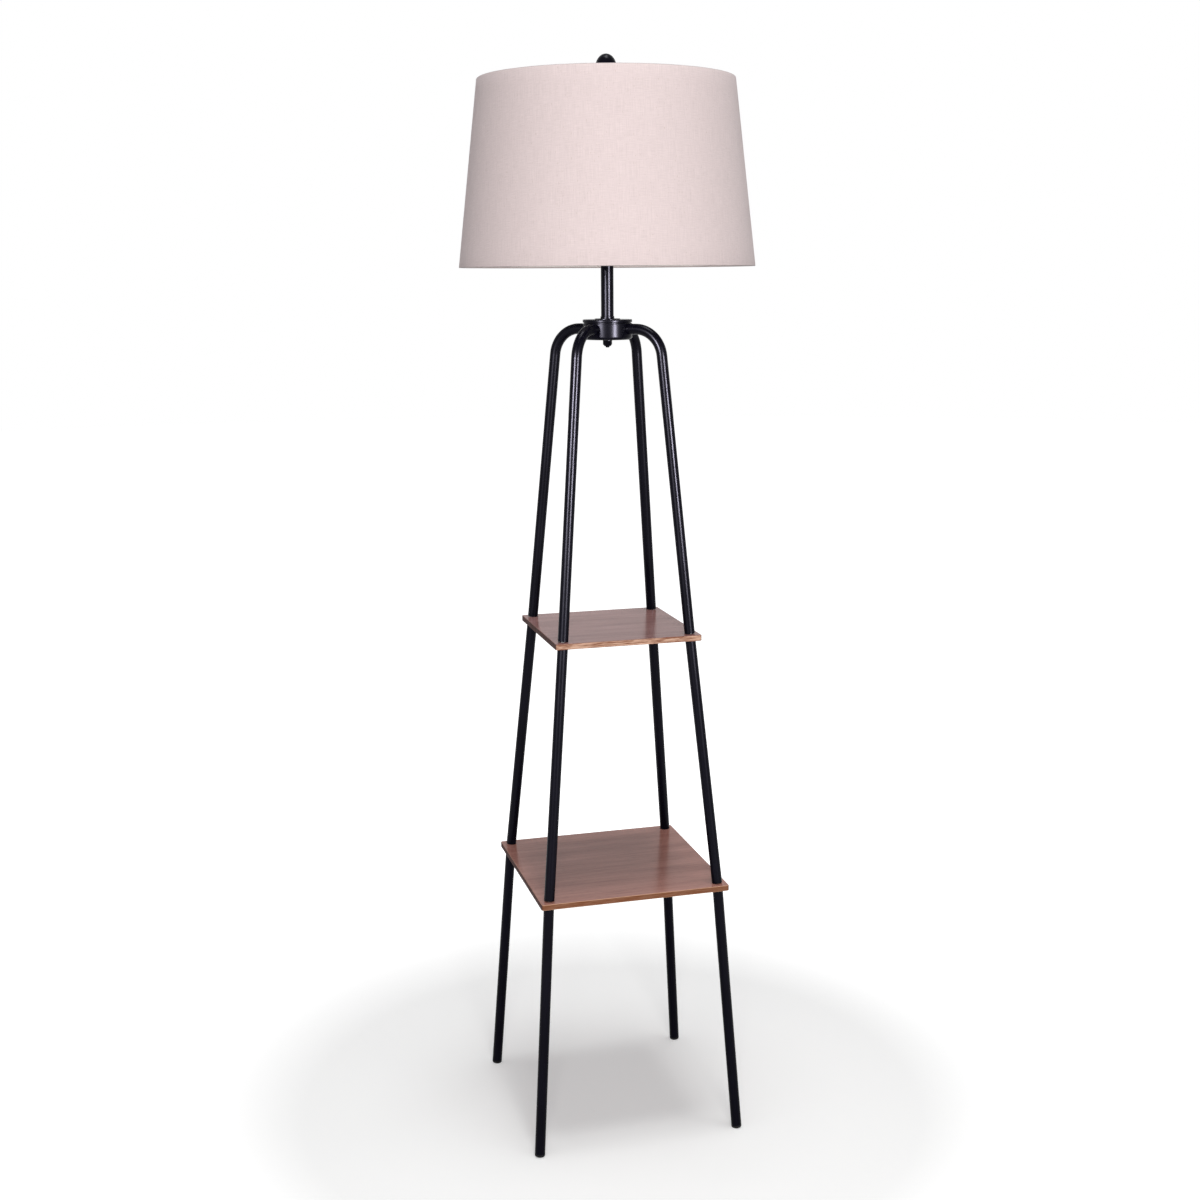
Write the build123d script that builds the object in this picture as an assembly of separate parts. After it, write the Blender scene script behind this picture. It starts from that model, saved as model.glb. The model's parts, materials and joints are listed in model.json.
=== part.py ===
from build123d import *
import os
from math import atan2, cos, degrees, hypot, sin, sqrt

# A floor lamp on four splayed tube legs that carry two square wooden shelves. The legs bend in to
# a round hub, a short pole rises from it, and a linen shade hangs on a harp over the lamp socket.
# Millimetres. The floor is z = 0, the pole's axis is the Z axis, and the shelves' edges run along
# X and Y. Each leg is drawn in the XZ plane and then turned to its corner about Z.

# ---- stance: leg centre to leg centre along one side, at four heights ----
foot_spacing = 287.0
lower_joint_spacing = 240.6
upper_joint_spacing = 178.4
crown_spacing = 111.6

# ---- heights above the floor ----
lower_shelf_top = 359.5
upper_shelf_top = 709.3
hub_underside = 1103.3

# ---- leg tubes and feet ----
leg_od = 14.3
leg_wall = 1.2
arm_bend_radius = 39.0
foot_cap_height = 4.0
foot_cap_plug = 14.0
foot_edge_round = 2.0
sole_lift = 0.1
fit_gap = 0.05

# ---- shelves and the screwed joints that clamp them between the tubes ----
shelf_thickness = 8.0
shelf_overhang = 13.0
shelf_corner_radius = 3.0
shelf_edge_round = 0.8
stud_diameter = 6.0
stud_grip = 12.0
insert_length = 15.0
insert_recess = 0.4
stud_clearance = 0.35

# ---- hub: a pressed cup with a lid, clamped by one long rod ----
hub_radius = 33.5
hub_wall = 1.6
hub_floor = 2.0
hub_cup_height = 21.8
hub_bottom_round = 4.0
hub_rim_round = 0.8
hub_inner_round = 2.0
lid_radius = 33.4
lid_skirt = 4.0
lid_top = 1.6
lid_reveal = 1.0
lid_edge_round = 1.0
spigot_gap = 0.2
spigot_wall = 1.4
spigot_reach = 1.2
arm_height_in_cup = 14.2
arm_screw_head_radius = 5.2
arm_screw_head = 3.3
arm_screw_grip = 9.0
arm_insert_length = 9.0
spacer_radius = 6.5
tie_rod_diameter = 6.0
tie_rod_tip = 1.9
tie_rod_grip = 18.0
hub_washer_radius = 6.6
hub_washer_thickness = 1.5
hub_nut_across_flats = 11.1
hub_nut_height = 5.4
hub_nut_collar = 1.8
hub_nut_collar_radius = 5.0

# ---- pole and what it stands on ----
lid_plate_radius = 17.3
lid_plate = 1.2
pole_od = 17.0
pole_wall = 1.2
pole_length = 77.5
collar_wall = 0.85
collar_height = 3.0
pole_plug_length = 20.0
pole_bush_length = 14.0
cord_hole_height = 32.0
cord_hole_radius = 3.5
grommet_flange = 1.3
grommet_bore_radius = 2.2

# ---- socket, switch and harp seat ----
nipple_radius = 4.85
nipple_bore = 3.4
check_washer_radius = 11.0
check_washer = 2.4
saddle_thickness = 1.2
saddle_width = 12.0
saddle_tab_width = 4.0
saddle_tab_height = 15.0
socket_cap_radius = 18.0
socket_cap_height = 20.0
socket_wall = 0.8
socket_shell_height = 46.0
socket_shell_tuck = 5.0
socket_gap = 0.1
liner_wall = 0.8
block_height = 17.0
screw_shell_wall = 0.5
screw_shell_bore = 13.3
switch_shaft_radius = 2.0
switch_height = 9.0
switch_reach = 22.0
switch_bush_radius = 4.2
switch_bush_length = 3.5
knob_radius = 6.2
knob_length = 13.0
knob_flutes = 10
knob_flute_radius = 1.0
running_gap = 0.06

# ---- bulb ----
bulb_base_radius = 13.0
bulb_base_height = 24.0
bulb_tip_radius = 4.5
bulb_tip = 2.0
bulb_radius = 30.0
bulb_neck_height = 42.0
bulb_wall = 1.0
bulb_seat_gap = 0.3

# ---- harp: a wire loop that carries the shade ----
harp_wire_radius = 1.6
harp_foot_half_span = 32.0
harp_foot_height = 36.0
harp_half_width = 55.0
harp_swell_low = 78.0
harp_swell_high = 150.0
harp_top_half_width = 20.0
harp_rise = 214.7
harp_foot_bend = 25.0
harp_low_bend = 60.0
harp_high_bend = 45.0
harp_top_bend = 22.0
ferrule_wall = 0.8
ferrule_length = 13.0
ferrule_lift = 14.0
ferrule_gap = 0.3
harp_shoulder_radius = 6.5
harp_shoulder = 1.5
harp_hub_radius = 4.5
harp_stud_radius = 3.1
harp_stud_length = 13.0

# ---- shade ----
shade_top_radius = 170.0
shade_bottom_radius = 198.0
shade_height = 241.2
shade_wall = 1.2
shade_hem_height = 7.0
shade_hem_wall = 0.6
ring_wire_radius = 1.6
ring_inset = 3.6
spider_drop = 13.4
spider_arms = 3
spider_arm_bend = 18.0
spider_washer_radius = 14.0
spider_washer = 1.6

# ---- finial ----
finial_radius = 14.0
finial_half_height = 17.6
finial_base_radius = 6.5
finial_base_height = 2.0
finial_neck_radius = 4.6
finial_neck_height = 9.0
finial_thread_depth = 14.0

# ---- places worked out from the sizes above ----
corner_angles = {"front_left": 225, "front_right": 315, "back_right": 45, "back_left": 135}
leg_radius = leg_od / 2
leg_bore = leg_radius - leg_wall
pole_radius = pole_od / 2
pole_bore = pole_radius - pole_wall
tie_radius = tie_rod_diameter / 2
stud_radius = stud_diameter / 2
lower_joint_z = lower_shelf_top - shelf_thickness / 2
upper_joint_z = upper_shelf_top - shelf_thickness / 2
arm_z = hub_underside + arm_height_in_cup
tie_rod_foot_z = hub_underside - hub_washer_thickness - hub_nut_height - hub_nut_collar - tie_rod_tip
cup_rim_z = hub_underside + hub_cup_height
lid_skirt_z = cup_rim_z + lid_reveal
lid_top_z = lid_skirt_z + lid_skirt
pole_foot_z = lid_top_z + lid_plate
pole_top_z = pole_foot_z + pole_length
saddle_z = pole_top_z + check_washer
seat_z = saddle_z + saddle_thickness
cap_top_z = seat_z + socket_cap_height
shell_foot_z = cap_top_z - socket_shell_tuck
shell_top_z = shell_foot_z + socket_shell_height
shell_radius = socket_cap_radius - socket_wall - socket_gap
liner_radius = shell_radius - socket_wall - socket_gap
block_radius = liner_radius - liner_wall - socket_gap
block_foot_z = shell_foot_z + socket_gap + liner_wall
switch_z = block_foot_z + switch_height
knob_foot = shell_radius + switch_bush_length + 2 * ferrule_gap
shaft_tip = knob_foot + knob_length / 2
block_top_z = block_foot_z + block_height
screw_shell_radius = screw_shell_bore + screw_shell_wall
bulb_foot_z = block_top_z + bulb_seat_gap + screw_shell_wall
bulb_neck_z = bulb_foot_z + bulb_tip + bulb_base_height
bulb_centre_z = bulb_neck_z + bulb_neck_height
harp_shoulder_z = seat_z + harp_rise
harp_wire_z = harp_shoulder_z - harp_shoulder - harp_hub_radius
shade_rim_z = harp_shoulder_z + spider_drop
shade_hem_z = shade_rim_z - shade_height
finial_z = harp_shoulder_z + spider_washer + running_gap


def tube(outer, inner, length):
    """A straight tube that stands on the origin."""
    rise = (Align.CENTER, Align.CENTER, Align.MIN)
    return Cylinder(outer, length, align=rise) - Cylinder(inner, length, align=rise)


def rod(radius, length):
    """A plain round bar that stands on the origin."""
    return Cylinder(radius, length, align=(Align.CENTER, Align.CENTER, Align.MIN))


def turned(*outline):
    """A turned solid from its closed half outline of (radius, height) points."""
    return revolve(Plane.XZ * make_face(Polyline(*outline, close=True)), axis=Axis.Z)


def edges_at(solid, height, radius=None):
    """The round edges that lie flat at one height, and at one radius if it is given."""
    level = [e for e in solid.edges().filter_by(GeomType.CIRCLE) if abs(e.center().Z - height) < 0.01]
    return [e for e in level if radius is None or abs(e.radius - radius) < 0.01]


def frame_at(point, direction):
    """A plane at a point of the XZ plane whose normal runs along a direction given as (x, z)."""
    return Plane(origin=(point[0], 0, point[1]), x_dir=(0, 1, 0), z_dir=(direction[0], 0, direction[1]))


def between(low, high):
    """Unit direction from one point of the XZ plane to another."""
    length = hypot(high[0] - low[0], high[1] - low[1])
    return ((high[0] - low[0]) / length, (high[1] - low[1]) / length)


def four(shape):
    """The same piece at all four legs."""
    return Compound(children=[Rot(0, 0, angle) * shape for angle in corner_angles.values()])


# The leg's centre line in the XZ plane: a kinked line through both shelves up to the arm's height.
foot_point = (foot_spacing / sqrt(2), 0.0)
lower_point = (lower_joint_spacing / sqrt(2), lower_joint_z)
upper_point = (upper_joint_spacing / sqrt(2), upper_joint_z)
crown_point = (crown_spacing / sqrt(2), arm_z)


def point_at(low, high, z):
    """The point at height z on the line through two points."""
    share = (z - low[1]) / (high[1] - low[1])
    return (low[0] + share * (high[0] - low[0]), z)


def end_point(low, high, plane_z, above):
    """Where a square-cut tube's axis ends when one edge of its end face meets a level plane."""
    lean = abs(between(low, high)[0]) * leg_radius
    return point_at(low, high, plane_z + lean if above else plane_z - lean)


def straight_leg(low, high):
    """A square-cut tube along the line from one point to another."""
    length = hypot(high[0] - low[0], high[1] - low[1])
    return frame_at(low, between(low, high)) * tube(leg_radius, leg_bore, length)


foot_axis = between(foot_point, lower_point)
tube_foot = (foot_point[0] + foot_axis[0] * (foot_cap_height + sole_lift),
             foot_axis[1] * (foot_cap_height + sole_lift))
lower_leg_top = end_point(foot_point, lower_point, lower_shelf_top - shelf_thickness, above=False)
middle_leg_foot = end_point(lower_point, upper_point, lower_shelf_top, above=True)
middle_leg_top = end_point(lower_point, upper_point, upper_shelf_top - shelf_thickness, above=False)
upper_leg_foot = end_point(upper_point, crown_point, upper_shelf_top, above=True)


def foot_cap():
    """Plug-in end cap: rounded at its edge and worn flat where it stands on the floor."""
    base = (foot_point[0] + foot_axis[0] * sole_lift, foot_axis[1] * sole_lift)
    button = rod(leg_radius, foot_cap_height)
    button = fillet(edges_at(button, 0), foot_edge_round)
    plug = Pos(0, 0, foot_cap_height) * tube(leg_bore - fit_gap, leg_bore - leg_wall, foot_cap_plug)
    ground = Box(4 * leg_od, 4 * leg_od, leg_od, align=(Align.CENTER, Align.CENTER, Align.MAX))
    return frame_at(base, foot_axis) * (button + plug) - Pos(foot_point[0], 0, 0) * ground


def upper_leg():
    """Tube that rises from the upper shelf, bends and runs level into the hub's side."""
    line = FilletPolyline((upper_leg_foot[0], 0, upper_leg_foot[1]),
                          (crown_point[0], 0, crown_point[1]),
                          (hub_radius - leg_wall, 0, arm_z), radius=arm_bend_radius)
    start = frame_at(upper_leg_foot, between(upper_leg_foot, crown_point))
    leg = sweep(start * Circle(leg_radius), path=line) - sweep(start * Circle(leg_bore), path=line)
    hub = Pos(0, 0, hub_underside) * rod(hub_radius + fit_gap, hub_cup_height + lid_skirt)
    return leg - hub


def joint_stud_line(low, middle, high):
    """Middle point and direction of the stud that joins two tubes through a shelf."""
    below, above = between(low, middle), between(middle, high)
    length = hypot(below[0] + above[0], below[1] + above[1])
    return middle, ((below[0] + above[0]) / length, (below[1] + above[1]) / length)


def along_stud(line, radius, length):
    """A bar centred on a stud's middle point."""
    middle, direction = line
    return frame_at(middle, direction) * Cylinder(radius, length)


lower_stud_line = joint_stud_line(foot_point, lower_point, upper_point)
upper_stud_line = joint_stud_line(lower_point, upper_point, crown_point)
stud_length = shelf_thickness + 2 * stud_grip


def tube_insert(end, direction, stud_line):
    """Welded plug inside a tube's end, bored for the stud."""
    plug = frame_at(end, direction) * Pos(0, 0, insert_recess) * rod(leg_bore - fit_gap, insert_length)
    return plug - along_stud(stud_line, stud_radius + fit_gap, 2 * stud_length)


def shelf_inserts(low, middle, high, below_end, above_end):
    """The two plugs that face each other across a shelf, at every leg."""
    line = joint_stud_line(low, middle, high)
    down, up = between(middle, low), between(middle, high)
    return Compound(children=[*four(tube_insert(below_end, down, line)).children,
                              *four(tube_insert(above_end, up, line)).children])


def shelf(joint_spacing, top_z, stud_line):
    """Square board with softened corners and one angled hole for each stud."""
    side = joint_spacing + 2 * shelf_overhang
    board = Box(side, side, shelf_thickness, align=(Align.CENTER, Align.CENTER, Align.MAX))
    board = Pos(0, 0, top_z) * board
    board = fillet(board.edges().filter_by(Axis.Z), shelf_corner_radius)
    rims = board.faces().sort_by(Axis.Z)
    board = fillet(rims[-1].edges() + rims[0].edges(), shelf_edge_round)
    hole = along_stud(stud_line, stud_radius + stud_clearance, 4 * shelf_thickness)
    for angle in corner_angles.values():
        board -= Rot(0, 0, angle) * hole
    return board


def hub_cup():
    """Pressed cup: rolled bottom edge, a hole for each arm screw and one for the tie rod."""
    body = Pos(0, 0, hub_underside) * rod(hub_radius, hub_cup_height)
    body = fillet(edges_at(body, hub_underside), hub_bottom_round)
    body = fillet(edges_at(body, cup_rim_z), hub_rim_round)
    floor_z = hub_underside + hub_floor
    hollow = Pos(0, 0, floor_z) * rod(hub_radius - hub_wall, hub_cup_height)
    hollow = fillet(edges_at(hollow, floor_z), hub_inner_round)
    cup = body - hollow - Pos(0, 0, hub_underside) * rod(tie_radius + stud_clearance, 2 * hub_floor)
    for angle in corner_angles.values():
        cup -= Rot(0, 0, angle) * arm_bar(0, 2 * hub_radius, stud_radius + stud_clearance)
    return cup


def arm_bar(start, end, radius):
    """A level bar at arm height, from one distance out of the hub's axis to another."""
    return Pos(start, 0, arm_z) * Rot(0, 90, 0) * rod(radius, end - start)


def arm_screw():
    """Button-head screw from inside the cup into an arm's plug."""
    seat = sqrt((hub_radius - hub_wall) ** 2 - arm_screw_head_radius ** 2) - fit_gap
    head = arm_bar(seat - arm_screw_head, seat, arm_screw_head_radius)
    head = fillet_end(head, seat - arm_screw_head)
    shank = arm_bar(seat - fit_gap, hub_radius + arm_screw_grip, stud_radius)
    return head + shank


def fillet_end(bar, x):
    """Round the edge of a level bar's end at distance x."""
    ends = [e for e in bar.edges().filter_by(GeomType.CIRCLE) if abs(e.center().X - x) < 0.01]
    return fillet(ends, arm_screw_head / 2)


def arm_insert():
    """Welded plug inside an arm's end, bored for its screw."""
    start = hub_radius + 2 * fit_gap
    plug = arm_bar(start, start + arm_insert_length, leg_bore - fit_gap)
    return plug - arm_bar(start - hub_wall, start + 2 * arm_insert_length, stud_radius + fit_gap)


def hub_lid():
    """Lid with a rounded skirt and a spigot that leaves a shadow line above the cup."""
    spigot = hub_radius - hub_wall - spigot_gap
    under = lid_top_z - lid_top
    foot = cup_rim_z - spigot_reach
    lid = turned((tie_radius + stud_clearance, under), (spigot - spigot_wall, under),
                 (spigot - spigot_wall, foot), (spigot, foot), (spigot, lid_skirt_z),
                 (lid_radius, lid_skirt_z), (lid_radius, lid_top_z),
                 (tie_radius + stud_clearance, lid_top_z))
    rims = edges_at(lid, lid_top_z, lid_radius) + edges_at(lid, lid_skirt_z, lid_radius)
    return fillet(rims, lid_edge_round)


def hub_spacer():
    """Sleeve round the tie rod that keeps the lid from crushing the cup."""
    foot = hub_underside + hub_floor
    length = lid_top_z - lid_top - foot
    return Pos(0, 0, foot) * tube(spacer_radius, tie_radius + stud_clearance, length)


def hub_washer():
    """Flat washer between the nut and the cup."""
    ring = tube(hub_washer_radius, tie_radius + stud_clearance, hub_washer_thickness)
    return Pos(0, 0, hub_underside - hub_washer_thickness) * ring


def hub_nut():
    """Lock nut: a hexagon with a round collar under it."""
    top = hub_underside - hub_washer_thickness
    outline = RegularPolygon(hub_nut_across_flats / 2, 6, major_radius=False)
    hexagon = extrude(outline, amount=-hub_nut_height)
    collar = Pos(0, 0, -hub_nut_height) * Rot(180, 0, 0) * rod(hub_nut_collar_radius, hub_nut_collar)
    collar = fillet(edges_at(collar, -hub_nut_height - hub_nut_collar), hub_nut_collar / 2)
    bore = Cylinder(tie_radius + fit_gap, 4 * hub_nut_height)
    return Pos(0, 0, top) * (hexagon + collar - bore)



def tie_rod():
    """Threaded rod from under the nut, through cup and lid, into the plug in the pole's foot."""
    bar = Pos(0, 0, tie_rod_foot_z) * rod(tie_radius, pole_foot_z + tie_rod_grip - tie_rod_foot_z)
    return chamfer(edges_at(bar, tie_rod_foot_z), tie_rod_tip / 2)


def pole():
    """Straight tube with the cord's way out low on its back."""
    body = Pos(0, 0, pole_foot_z) * tube(pole_radius, pole_bore, pole_length)
    return body - back_bar(0, pole_od, cord_hole_radius)


def pole_plug():
    """Threaded plug in the pole's foot for the tie rod."""
    return Pos(0, 0, pole_foot_z) * tube(pole_bore - fit_gap, tie_radius + fit_gap, pole_plug_length)


def pole_bush():
    """Threaded bush in the pole's top for the nipple."""
    bush = tube(pole_bore - fit_gap, nipple_radius + fit_gap, pole_bush_length)
    return Pos(0, 0, pole_top_z - pole_bush_length) * bush


def socket_nipple():
    """Hollow threaded rod that clamps washer, saddle and socket cap to the pole's bush."""
    length = pole_bush_length + check_washer + saddle_thickness + 5 * socket_wall
    return Pos(0, 0, pole_top_z - pole_bush_length) * tube(nipple_radius, nipple_bore, length)


def back_bar(start, end, radius):
    """A level bar towards the back, at the height of the cord's way out."""
    return Pos(0, start, pole_foot_z + cord_hole_height) * Rot(-90, 0, 0) * rod(radius, end - start)


def cord_grommet():
    """Plastic bush in the pole's back, its flange saddled to the tube."""
    flange = back_bar(0, pole_radius + grommet_flange, cord_hole_radius + grommet_flange)
    rim = [e for e in flange.edges().filter_by(GeomType.CIRCLE) if e.center().Y > pole_radius]
    flange = fillet(rim, grommet_flange / 2)
    flange -= Pos(0, 0, pole_foot_z) * rod(pole_radius + fit_gap, pole_length)
    barrel = back_bar(pole_bore, pole_radius + grommet_flange / 2, cord_hole_radius - fit_gap)
    return flange + barrel - back_bar(0, pole_od, grommet_bore_radius)


def plain_washer(z, outer, inner, thickness, edge_round):
    """Flat ring with its upper outer edge rounded."""
    ring = Pos(0, 0, z) * tube(outer, inner, thickness)
    return fillet(edges_at(ring, z + thickness, outer), edge_round)


def harp_saddle():
    """Strip with a hole for the nipple and a tab at each end for a harp foot."""
    tab_x = harp_foot_half_span - harp_wire_radius - fit_gap
    strip = Pos(0, 0, saddle_z) * Box(2 * tab_x, saddle_width, saddle_thickness,
                                      align=(Align.CENTER, Align.CENTER, Align.MIN))
    strip = fillet(strip.edges().filter_by(Axis.Z), saddle_width / 4)
    hole = Pos(0, 0, saddle_z) * Cylinder(nipple_radius + fit_gap, 4 * saddle_thickness)
    tab = Box(saddle_thickness, saddle_tab_width, saddle_tab_height,
              align=(Align.MAX, Align.CENTER, Align.MIN))
    right_tab = Pos(tab_x, 0, seat_z) * tab
    return strip + right_tab + mirror(right_tab, about=Plane.YZ) - hole


def harp():
    """The wire loop: two upright feet, a swell round the bulb and a narrower flat top."""
    side = [(harp_foot_half_span, seat_z + fit_gap),
            (harp_foot_half_span, seat_z + harp_foot_height),
            (harp_half_width, seat_z + harp_swell_low),
            (harp_half_width, seat_z + harp_swell_high),
            (harp_top_half_width, harp_wire_z)]
    points = [(-x, 0, z) for x, z in side] + [(x, 0, z) for x, z in reversed(side)]
    bends = [harp_foot_bend, harp_low_bend, harp_high_bend, harp_top_bend]
    route = FilletPolyline(*points, radius=bends + bends[::-1])
    start = Plane(origin=points[0], z_dir=(0, 0, 1))
    return sweep(start * Circle(harp_wire_radius), path=route)


def harp_ferrule(side):
    """Sleeve that locks a harp foot to its tab and slides up to free it."""
    inner_in = harp_foot_half_span - harp_wire_radius - fit_gap - saddle_thickness - ferrule_gap
    inner_out = harp_foot_half_span + harp_wire_radius + ferrule_gap
    depth = 2 * (saddle_tab_width / 2 + ferrule_gap)
    centre = (inner_in + inner_out) / 2
    width = inner_out - inner_in
    low = (Align.CENTER, Align.CENTER, Align.MIN)
    outer = Box(width + 2 * ferrule_wall, depth + 2 * ferrule_wall, ferrule_length, align=low)
    outer = fillet(outer.edges().filter_by(Axis.Z), ferrule_wall)
    sleeve = outer - Box(width, depth, 4 * ferrule_length)
    return Pos(side * centre, 0, seat_z + fit_gap) * sleeve


def harp_stud():
    """Turned boss on the harp's top: a shoulder for the shade and a threaded stud for the finial."""
    foot = harp_wire_z - harp_hub_radius
    boss = Pos(0, 0, foot) * rod(harp_hub_radius, 2 * harp_hub_radius)
    shoulder = Pos(0, 0, harp_shoulder_z - harp_shoulder) * rod(harp_shoulder_radius, harp_shoulder)
    stud = Pos(0, 0, harp_shoulder_z) * rod(harp_stud_radius, harp_stud_length)
    stud = chamfer(edges_at(stud, harp_shoulder_z + harp_stud_length), harp_stud_radius / 4)
    way = Rot(0, 90, 0) * Cylinder(harp_wire_radius + fit_gap, 4 * harp_hub_radius)
    return boss + shoulder + stud - Pos(0, 0, harp_wire_z) * way


def socket_cap():
    """Lower half of the metal socket case: a cup with a collar on the nipple."""
    hole = nipple_radius + fit_gap
    collar = nipple_radius + 4 * socket_wall
    collar_top = seat_z + 4 * socket_wall
    cheek_z = cap_top_z - 8 * socket_wall
    inside = socket_cap_radius - socket_wall
    floor_z = collar_top + socket_wall
    return turned((hole, seat_z), (collar, seat_z), (collar, collar_top), (socket_cap_radius, cheek_z),
                  (socket_cap_radius, cap_top_z), (inside, cap_top_z), (inside, cheek_z),
                  (collar - 2 * socket_wall, floor_z), (hole, floor_z))


def front_bar(start, end, radius):
    """A level bar towards the front at the switch's height."""
    return Pos(0, -start, switch_z) * Rot(90, 0, 0) * rod(radius, end - start)


def socket_shell():
    """Upper half of the socket case, with the hole for the switch's bush."""
    shell = tube(shell_radius, shell_radius - socket_wall, socket_shell_height)
    hole = front_bar(0, 2 * shell_radius, switch_shaft_radius + 2 * ferrule_gap)
    return Pos(0, 0, shell_foot_z) * shell - hole


def socket_liner():
    """Insulating sleeve between the case and the live parts."""
    height = socket_shell_height - 2 * socket_gap
    foot = shell_foot_z + socket_gap
    liner = Pos(0, 0, foot) * tube(liner_radius, liner_radius - liner_wall, height)
    return liner - front_bar(0, 2 * shell_radius, switch_shaft_radius + 2 * ferrule_gap)


def socket_block():
    """Moulded block that holds the switch and carries the screw shell."""
    block = Pos(0, 0, block_foot_z) * rod(block_radius, block_height)
    block = fillet(edges_at(block, block_top_z), socket_wall)
    return block - front_bar(0, 2 * block_radius, switch_shaft_radius + running_gap)


def screw_shell():
    """Brass shell that takes the bulb's base."""
    height = shell_top_z - block_top_z - 2 * socket_wall
    shell = Pos(0, 0, block_top_z) * rod(screw_shell_radius, height)
    return shell - Pos(0, 0, block_top_z + screw_shell_wall) * rod(screw_shell_bore, height)


def switch_bush():
    """Ring nut on the socket case round the switch's shaft."""
    seat = sqrt(shell_radius ** 2 - switch_bush_radius ** 2)
    bush = front_bar(seat, shell_radius + switch_bush_length, switch_bush_radius)
    bush -= Pos(0, 0, shell_foot_z) * rod(shell_radius + fit_gap, socket_shell_height)
    return bush - front_bar(0, 2 * shell_radius, switch_shaft_radius + running_gap)


def switch_knob():
    """Fluted turn knob, blind-bored for its shaft."""
    knob = front_bar(knob_foot, knob_foot + knob_length, knob_radius)
    rim = [e for e in knob.edges().filter_by(GeomType.CIRCLE) if e.center().Y < -shaft_tip]
    knob = fillet(rim, 2 * knob_flute_radius)
    for i in range(knob_flutes):
        turn = Pos(0, 0, switch_z) * Rot(0, 360 * i / knob_flutes, 0) * Pos(0, 0, -switch_z)
        groove = Pos(knob_radius + knob_flute_radius / 3, -knob_foot, switch_z) * Rot(90, 0, 0)
        knob -= turn * groove * Cylinder(knob_flute_radius, 4 * knob_length)
    return knob - front_bar(0, shaft_tip, switch_shaft_radius + fit_gap)


def switch_shaft():
    """Shaft from the switch in the block out to the knob."""
    return front_bar(block_radius - switch_reach / 2, shaft_tip - fit_gap, switch_shaft_radius)


def bulb_base():
    """Screw base with its contact button."""
    body = Pos(0, 0, bulb_foot_z + bulb_tip) * rod(bulb_base_radius, bulb_base_height)
    body = chamfer(edges_at(body, bulb_foot_z + bulb_tip), bulb_base_radius / 3)
    return body + Pos(0, 0, bulb_foot_z) * rod(bulb_tip_radius, bulb_tip)


def bulb_outline(wall):
    """Half outline of the glass, drawn in by a wall thickness."""
    neck = bulb_base_radius - wall
    ball = bulb_radius - wall
    lean = neck / ball
    foot = bulb_neck_z
    cheek = bulb_centre_z - ball * lean
    flare = make_face(Polyline((0, foot), (neck, foot), (neck, foot + bulb_neck_height / 6),
                               (ball * sqrt(1 - lean ** 2), cheek), (0, cheek), close=True))
    ball_face = Pos(0, bulb_centre_z) * Circle(ball)
    half = Rectangle(4 * bulb_radius, 8 * bulb_radius, align=(Align.MIN, Align.CENTER))
    return Plane.XZ * ((flare + ball_face) & (Pos(0, bulb_centre_z) * half))


def bulb_glass():
    """Blown pear-shaped glass, open at its neck."""
    return revolve(bulb_outline(0), axis=Axis.Z) - revolve(bulb_outline(bulb_wall), axis=Axis.Z)


def shade_wall_at(z, inset):
    """Radius of the shade's cone at a height, measured inwards from its outside."""
    share = (z - shade_hem_z) / shade_height
    return shade_bottom_radius + share * (shade_top_radius - shade_bottom_radius) - inset


def cone_ring(low, high, inset, wall):
    """A thin conical band that follows the shade's slope."""
    return turned((shade_wall_at(low, inset), low), (shade_wall_at(high, inset), high),
                  (shade_wall_at(high, inset + wall), high), (shade_wall_at(low, inset + wall), low))


def shade_hem(low):
    """A folded strip inside the shade's wall, over one of its rims."""
    return cone_ring(low, low + shade_hem_height, shade_wall + fit_gap, shade_hem_wall)


def ring_radius(z):
    """Radius of a ring wire's centre line at a height inside the shade."""
    return shade_wall_at(z, shade_wall + shade_hem_wall + ring_wire_radius + 3 * fit_gap)


def wire_ring(z):
    """A round wire ring inside the shade."""
    return Pos(0, 0, z) * Torus(ring_radius(z), ring_wire_radius)


def spider():
    """Top ring with three cranked arms down to the washer that sits on the harp."""
    ring_z = shade_rim_z - ring_inset
    washer = Pos(0, 0, harp_shoulder_z) * rod(spider_washer_radius, spider_washer)
    arm_level = harp_shoulder_z + ring_wire_radius
    ring_r = ring_radius(ring_z)
    route = FilletPolyline((spider_washer_radius - 2 * ring_wire_radius, 0, arm_level),
                           (ring_r - spider_arm_bend, 0, arm_level), (ring_r, 0, ring_z),
                           radius=spider_arm_bend)
    start = Plane(origin=route @ 0, z_dir=route % 0)
    arm = sweep(start * Circle(ring_wire_radius), path=route)
    frame = wire_ring(ring_z) + washer
    for i in range(spider_arms):
        frame += Rot(0, 0, 90 + 360 * i / spider_arms) * arm
    hole = Cylinder(harp_stud_radius + running_gap, 8 * spider_washer)
    return frame - Pos(0, 0, harp_shoulder_z) * hole


def finial():
    """Egg-shaped knob on a short neck, blind-bored for the harp's stud."""
    centre = finial_z + finial_neck_height + finial_half_height
    egg = Pos(0, centre) * Ellipse(finial_radius, finial_half_height)
    half = Rectangle(2 * finial_radius, 4 * finial_half_height, align=(Align.MIN, Align.CENTER))
    ball = revolve(Plane.XZ * (egg & (Pos(0, centre) * half)), axis=Axis.Z)
    step_z = finial_z + finial_base_height
    base = turned((0, finial_z), (finial_base_radius, finial_z), (finial_base_radius, step_z),
                  (finial_neck_radius, step_z + finial_base_height), (finial_neck_radius, centre),
                  (0, centre))
    bore = Pos(0, 0, finial_z) * rod(harp_stud_radius + running_gap, finial_thread_depth)
    return ball + base - bore


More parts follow.
